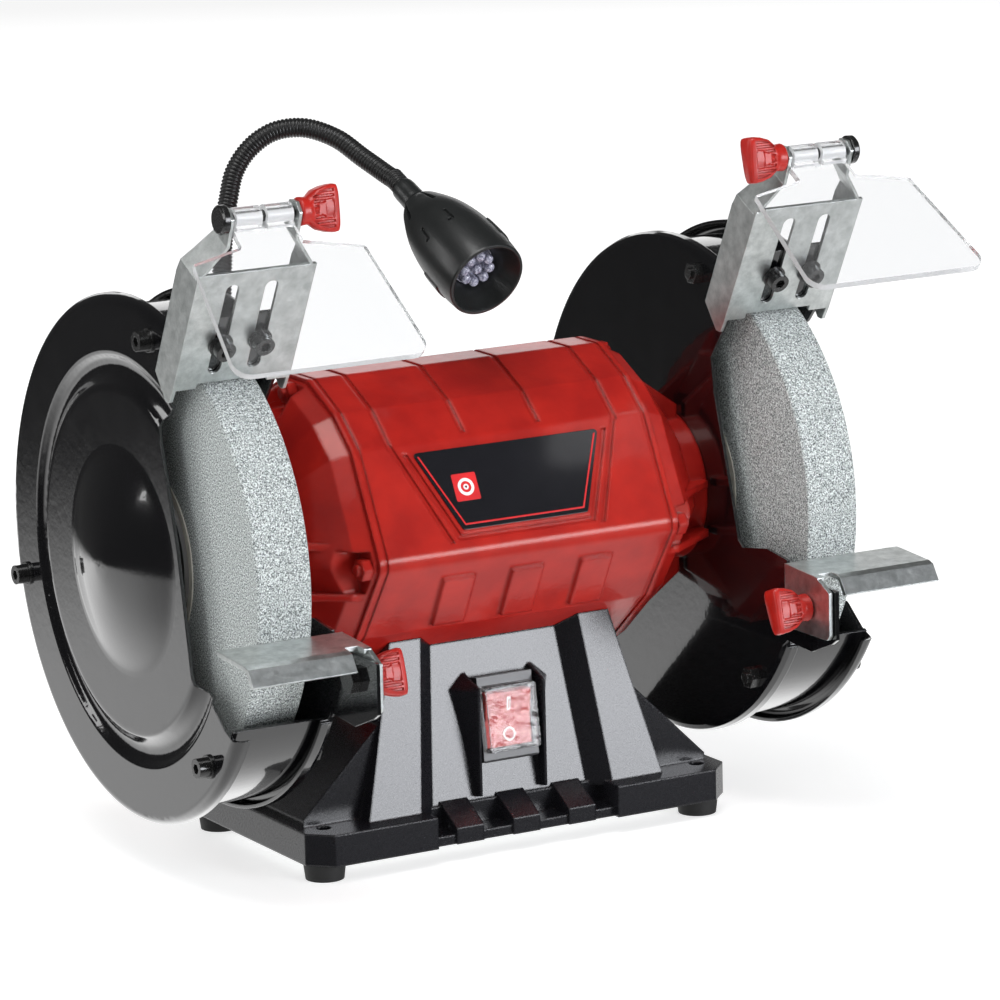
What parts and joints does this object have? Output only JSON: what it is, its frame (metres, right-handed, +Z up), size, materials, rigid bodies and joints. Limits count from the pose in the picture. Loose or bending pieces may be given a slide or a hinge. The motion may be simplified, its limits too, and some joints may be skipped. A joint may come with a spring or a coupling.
{
  "type": "bench grinder",
  "caption": "Double-ended bench grinder with guarded abrasive wheels, spark arrestors, clear eye shields, tool rests, rocker switch and a gooseneck lamp.",
  "frame": {"origin": "on the bench top, under the middle of the base and of its four bolt holes", "axes": "+X along the spindle to the right-hand wheel, +Y to the back, +Z up"},
  "size_m": [0.355, 0.2697, 0.3081],
  "materials": {
    "base_paint": "black crackle paint, semi-gloss",
    "motor_red": "glossy red paint",
    "guard_black": "gloss black enamel",
    "sheet_zinc": "bright zinc-plated sheet steel",
    "bright_steel": "ground steel",
    "flange_steel": "turned steel",
    "lamination_steel": "stacked electrical steel",
    "screw_black": "black oxide steel",
    "plastic_red": "moulded red plastic",
    "plastic_black": "fine-textured black plastic",
    "plastic_dark": "dark grey plastic",
    "plastic_grey": "grey plastic",
    "rubber_black": "moulded rubber",
    "gooseneck_black": "corrugated black sleeve",
    "clear_plastic": "clear polycarbonate",
    "led_clear": "clear epoxy",
    "plate_dark": "gloss printed plate",
    "copper_wire": "varnished copper",
    "blotter_paper": "paper",
    "abrasive": "grey vitrified abrasive grain"
  },
  "bodies": {
    "frame": {"base_casting": "base_paint", "rubber_feet": "rubber_black", "bottom_cover": "sheet_zinc", "bottom_cover_screws": "screw_black", "cable_gland": "plastic_black", "switch_body": "plastic_dark", "switch_splash_cover": "clear_plastic", "motor_shell": "motor_red", "end_bell_left": "motor_red", "end_bell_right": "motor_red", "tie_bolts": "motor_red", "stator_core": "lamination_steel", "stator_windings": "copper_wire", "ball_bearings": "bright_steel", "wave_washer": "bright_steel", "run_capacitor": "plastic_grey", "name_plate": "plate_dark", "cover_washers": "screw_black", "casing_nuts": "screw_black", "lamp_socket": "plastic_black", "gooseneck_lower": "gooseneck_black", "guard_casing_left": "guard_black", "guard_casing_right": "guard_black", "guard_band_left": "guard_black", "guard_band_right": "guard_black", "guard_cover_left": "guard_black", "guard_cover_right": "guard_black", "cover_screws_left": "screw_black", "cover_screws_right": "screw_black", "arrestor_screws_left": "screw_black", "arrestor_screws_right": "screw_black", "rest_bolt_left": "screw_black", "rest_bolt_right": "screw_black"},
    "spindle": {"motor_shaft": "bright_steel", "rotor_core": "lamination_steel", "grinding_wheel_left": "abrasive", "grinding_wheel_right": "abrasive", "paper_blotters": "blotter_paper", "inner_flanges": "flange_steel", "outer_flanges": "flange_steel", "spindle_nut_left": "flange_steel", "spindle_nut_right": "flange_steel"},
    "arrestor_left": {"spark_arrestor_left": "sheet_zinc"},
    "shield_left": {"eye_shield_left": "clear_plastic"},
    "shield_clamp_left": {"shield_pin_left": "screw_black", "shield_knob_left": "plastic_red"},
    "rest_left": {"tool_rest_left": "sheet_zinc"},
    "rest_clamp_left": {"rest_knob_left": "plastic_red"},
    "arrestor_right": {"spark_arrestor_right": "sheet_zinc"},
    "shield_right": {"eye_shield_right": "clear_plastic"},
    "shield_clamp_right": {"shield_pin_right": "screw_black", "shield_knob_right": "plastic_red"},
    "rest_right": {"tool_rest_right": "sheet_zinc"},
    "rest_clamp_right": {"rest_knob_right": "plastic_red"},
    "rocker": {"switch_rocker": "plastic_red"},
    "lamp_arm": {"gooseneck_upper": "gooseneck_black"},
    "lamp": {"lamp_head": "plastic_black", "lamp_leds": "led_clear"}
  },
  "joints": [
    {"name": "spindle_spin", "type": "hinge", "parent": "frame", "child": "spindle", "pos_m": [0, 0, 0.1385], "axis": [1, 0, 0], "continuous": true},
    {"name": "arrestor_slide_left", "type": "slide", "parent": "frame", "child": "arrestor_left", "axis": [0, -0.4741, 0.8805], "range_m": [0, 0.01]},
    {"name": "shield_hinge_left", "type": "hinge", "parent": "arrestor_left", "child": "shield_left", "pos_m": [-0.134, -0.08897, 0.29528], "axis": [1, 0, 0], "range_deg": [-75, 30]},
    {"name": "shield_knob_turn_left", "type": "hinge", "parent": "arrestor_left", "child": "shield_clamp_left", "pos_m": [-0.117, -0.08897, 0.29528], "axis": [-1, 0, 0], "range_deg": [0, 360]},
    {"name": "rest_slide_left", "type": "slide", "parent": "frame", "child": "rest_left", "axis": [0, -1, 0], "range_m": [0, 0.012]},
    {"name": "rest_knob_turn_left", "type": "hinge", "parent": "frame", "child": "rest_clamp_left", "pos_m": [-0.108, -0.118, 0.104], "axis": [-1, 0, 0], "range_deg": [0, 360]},
    {"name": "arrestor_slide_right", "type": "slide", "parent": "frame", "child": "arrestor_right", "axis": [0, -0.4741, 0.8805], "range_m": [0, 0.01]},
    {"name": "shield_hinge_right", "type": "hinge", "parent": "arrestor_right", "child": "shield_right", "pos_m": [0.134, -0.08897, 0.29528], "axis": [1, 0, 0], "range_deg": [-75, 30]},
    {"name": "shield_knob_turn_right", "type": "hinge", "parent": "arrestor_right", "child": "shield_clamp_right", "pos_m": [0.117, -0.08897, 0.29528], "axis": [1, 0, 0], "range_deg": [0, 360]},
    {"name": "rest_slide_right", "type": "slide", "parent": "frame", "child": "rest_right", "axis": [0, -1, 0], "range_m": [0, 0.012]},
    {"name": "rest_knob_turn_right", "type": "hinge", "parent": "frame", "child": "rest_clamp_right", "pos_m": [0.108, -0.118, 0.104], "axis": [1, 0, 0], "range_deg": [0, 360]},
    {"name": "rocker_tilt", "type": "hinge", "parent": "frame", "child": "rocker", "pos_m": [0, -0.04063, 0.05576], "axis": [1, 0, 0], "range_deg": [-16, 0]},
    {"name": "gooseneck_bend", "type": "hinge", "parent": "frame", "child": "lamp_arm", "pos_m": [-0.0695, 0.078, 0.225], "axis": [1, 0, 0], "range_deg": [-20, 6]},
    {"name": "lamp_tilt", "type": "hinge", "parent": "lamp_arm", "child": "lamp", "pos_m": [-0.00572, 0.02732, 0.28108], "axis": [1, 0, 0], "range_deg": [-40, 12]}
  ]
}
